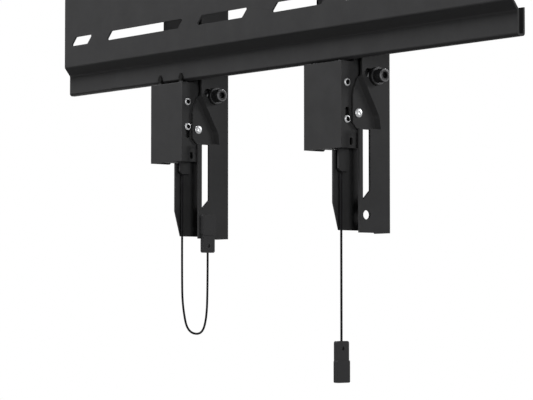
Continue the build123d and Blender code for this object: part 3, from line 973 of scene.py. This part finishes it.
class BRACKET_OT_tabs(BracketOperator):
    """Moulded pull tabs and their magnets"""

    bl_idname = "bracket.tabs"
    bl_label = "Pull tabs"

    def make(self, sizes, colours):
        grip = material("moulded_tab", moulded_tab, colours.tab)
        nickel = material("nickel_plate", plated_zinc, colours.magnet)
        for side, body in (("left", "left_arm"), ("right", "right_latch")):
            node = f"{side}_pull_tab"
            mesh = rounded_copy(node, node + "_moulded", sizes.tab_round, 3, (grip,))
            new_piece(node + "_moulded", mesh, body, (node,))
            node = f"{side}_tab_magnet"
            mesh = rounded_copy(node, node + "_plated", sizes.edge_round, 2, (nickel,))
            new_piece(node + "_plated", mesh, body, (node,))


class BRACKET_OT_cords(BracketOperator):
    """Braided pull cords on their routes"""

    bl_idname = "bracket.cords"
    bl_label = "Pull cords"

    def make(self, sizes, colours):
        self.braid = material("braided_cord", braided_cord, colours.cord)
        self.diameter = sizes.cord_diameter
        edges = {side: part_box(f"{side}_hook_bracket")[1].x for side in SIDES}
        self.looped([Vector((edges["left"] + x, y, z)) for x, y, z in LOOPED_ROUTE])
        top = Vector((edges["right"] + HANGING_TOP[0], *HANGING_TOP[1:]))
        self.hanging([top, top - Vector((0, 0, HANGING_LENGTH))])

    def looped(self, route):
        """Cord of the locked latch, as two runs that meet at the bottom of its loop.
        """
        path = self.line("left_pull_cord", route)
        turn = min(range(len(path)), key=lambda k: path[k].z)
        falling = self.tube("left_pull_cord_falling", path, 0, turn)
        rising = self.tube("left_pull_cord_rising", path, turn, len(path) - 1)
        still = route[0].copy()
        still.z = route[1].z
        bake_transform(falling)
        low = route[-1].copy()
        low.z = path[turn].z
        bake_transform(rising)
        self.declare(falling, "left_pull_cord", path[: turn + 1], "bare", ())
        carried = ("left_pull_tab_moulded", "left_tab_magnet_plated")
        self.declare(rising, "left_pull_cord", path[turn:], "fitting", carried)

    def hanging(self, route):
        """Cord of the pulled latch, straight down to its tab."""
        path = self.line("right_pull_cord", route)
        drop = self.tube("right_pull_cord_braid", path, 0, len(path) - 1)
        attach(drop, "right_latch")
        carried = ("right_pull_tab_moulded", "right_tab_magnet_plated")
        self.declare(drop, "right_pull_cord", path, "fitting", carried)

    def declare(self, piece, node, path, far_end, carried):
        """Hide the CAD node that a run of cord stands for; its length and the pieces on it are not used."""
        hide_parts(node)

    def line(self, name, points):
        """Points along the smooth spline that has the route as its control points."""
        curve = bpy.data.curves.new(name + "_route", "CURVE")
        curve.dimensions = "3D"
        curve.resolution_u = 16
        spline = curve.splines.new("NURBS")
        spline.points.add(len(points) - 1)
        for control, point in zip(spline.points, points):
            control.co = (*point, 1.0)
        spline.order_u = min(3, len(points))
        spline.use_endpoint_u = True
        holder = bpy.data.objects.new(name + "_route", curve)
        bpy.context.scene.collection.objects.link(holder)
        mesh = evaluated_mesh(holder)
        path = [vertex.co.copy() for vertex in mesh.vertices]
        bpy.data.objects.remove(holder)
        bpy.data.meshes.remove(mesh)
        return path

    def tube(self, name, path, first, last, around=14):
        """Round tube along part of a path, with a map that runs round and along it."""
        radius = self.diameter / 2
        work = bmesh.new()
        layer = work.loops.layers.uv.new("braid")
        loops = []
        side = Vector((1, 0, 0))
        run = 0.0
        runs = []
        for k in range(first, last + 1):
            ahead = (path[min(k + 1, len(path) - 1)] - path[max(k - 1, 0)]).normalized()
            side = (side - ahead * side.dot(ahead)).normalized()
            up = ahead.cross(side)
            turns = (2 * math.pi * j / around for j in range(around))
            loops.append(
                [work.verts.new(path[k] + radius * (side * math.cos(t) + up * math.sin(t))) for t in turns]
            )
            run += (path[k] - path[k - 1]).length if k > first else 0.0
            runs.append(run)
        for k in range(len(loops) - 1):
            for j in range(around):
                after = (j + 1) % around
                face = work.faces.new((loops[k][j], loops[k][after], loops[k + 1][after], loops[k + 1][j]))
                face.smooth = True
                marks = ((j, runs[k]), (j + 1, runs[k]), (j + 1, runs[k + 1]), (j, runs[k + 1]))
                for corner, (turn, along) in zip(face.loops, marks):
                    corner[layer].uv = (turn / around, along)
        work.faces.new(loops[0])
        work.faces.new(loops[-1])
        bmesh.ops.recalc_face_normals(work, faces=work.faces)
        mesh = bpy.data.meshes.new(name)
        work.to_mesh(mesh)
        work.free()
        mesh.materials.append(self.braid)
        piece = bpy.data.objects.new(name, mesh)
        bpy.context.scene.collection.objects.link(piece)
        return piece


class BRACKET_OT_stage(BracketOperator):
    """Pale floor, studio light and the photograph's camera"""

    bl_idname = "bracket.stage"
    bl_label = "Stage"

    def make(self, sizes, colours):
        low, high = cad_box
        self.floor(low.z - sizes.floor_drop, colours)
        self.world(sizes)
        middle = (low + high) / 2
        for name, place, size in LAMPS:
            self.lamp(name, Vector(place), middle, size, getattr(sizes, name + "_power"))
        self.camera()
        bpy.context.scene.view_settings.view_transform = "Standard"

    def floor(self, height, colours):
        """Wide flat floor."""
        mesh = bpy.data.meshes.new("floor")
        corners = [
            (x * FLOOR_REACH, y * FLOOR_REACH, height) for x, y in ((-1, -1), (1, -1), (1, 1), (-1, 1))
        ]
        mesh.from_pydata(corners, [], [(0, 1, 2, 3)])
        mesh.materials.append(pale_ground("pale_floor", colours.floor))
        floor = bpy.data.objects.new("floor", mesh)
        bpy.context.scene.collection.objects.link(floor)

    def world(self, sizes):
        """Even light from all round, white where the camera, glossy or clear rays see it."""
        world = bpy.data.worlds.new("studio")
        world.use_nodes = True
        tree = world.node_tree
        background = tree.nodes["Background"]
        level = tree.nodes.new("ShaderNodeMapRange")
        level.inputs["To Min"].default_value = sizes.world_strength
        level.inputs["To Max"].default_value = 1.0
        tree.links.new(seen_rays(tree), level.inputs["Value"])
        tree.links.new(level.outputs[0], background.inputs["Strength"])
        background.inputs["Color"].default_value = (1.0, 1.0, 1.0, 1.0)
        bpy.context.scene.world = world

    def lamp(self, name, place, target, size, watts):
        """Square area lamp that faces the bracket."""
        lamp = bpy.data.lights.new(name, "AREA")
        lamp.size = size
        lamp.energy = watts
        holder = bpy.data.objects.new(name, lamp)
        holder.location = place
        holder.rotation_mode = "QUATERNION"
        holder.rotation_quaternion = (target - place).to_track_quat("-Z", "Y")
        bpy.context.scene.collection.objects.link(holder)

    def camera(self):
        """Long lens that looks a little up at the bracket from its wall side."""
        turn, rise = math.radians(CAMERA_TURN), math.radians(CAMERA_RISE)
        ahead = Vector(
            (-math.sin(turn) * math.cos(rise), math.cos(turn) * math.cos(rise), math.sin(rise))
        )
        right = Vector((math.cos(turn), math.sin(turn), 0.0))
        up = right.cross(ahead)
        data = bpy.data.cameras.new("photo_view")
        data.sensor_width = 36.0
        data.lens = data.sensor_width * FOCAL_PIXELS / PHOTO_WIDTH
        data.clip_end = 100.0
        holder = bpy.data.objects.new("photo_view", data)
        axes = Matrix((right, up, -ahead)).transposed().to_4x4()
        holder.matrix_world = Matrix.Translation(CAMERA_PLACE) @ axes
        bpy.context.scene.collection.objects.link(holder)
        bpy.context.scene.camera = holder


OPERATORS = (
    BRACKET_OT_stage,
    BRACKET_OT_sheets,
    BRACKET_OT_rivets,
    BRACKET_OT_clamps,
    BRACKET_OT_springs,
    BRACKET_OT_tabs,
    BRACKET_OT_cords,
)


class BRACKET_PT_finish(bpy.types.Panel):
    """Buttons that make the bracket's pieces."""

    bl_idname = "BRACKET_PT_finish"
    bl_label = "Wall bracket"
    bl_space_type = "VIEW_3D"
    bl_region_type = "UI"
    bl_category = "Bracket"

    def draw(self, context):
        """List one button for each operator."""
        for operator in OPERATORS:
            self.layout.operator(operator.bl_idname)


CLASSES = (BracketSizes, BracketColours, *OPERATORS, BRACKET_PT_finish)


def register():
    """Register the classes and the scene's settings."""
    for made in CLASSES:
        bpy.utils.register_class(made)
    bpy.types.Scene.bracket_sizes = bpy.props.PointerProperty(type=BracketSizes)
    bpy.types.Scene.bracket_colours = bpy.props.PointerProperty(type=BracketColours)


def unregister():
    """Remove the scene's settings and the classes."""
    del bpy.types.Scene.bracket_colours
    del bpy.types.Scene.bracket_sizes
    for made in reversed(CLASSES):
        bpy.utils.unregister_class(made)


def main():
    """Make every piece."""
    register()
    bpy.ops.bracket.stage()
    bpy.ops.bracket.sheets()
    bpy.ops.bracket.rivets()
    bpy.ops.bracket.clamps()
    bpy.ops.bracket.springs()
    bpy.ops.bracket.tabs()
    bpy.ops.bracket.cords()


if __name__ == "__main__":
    main()
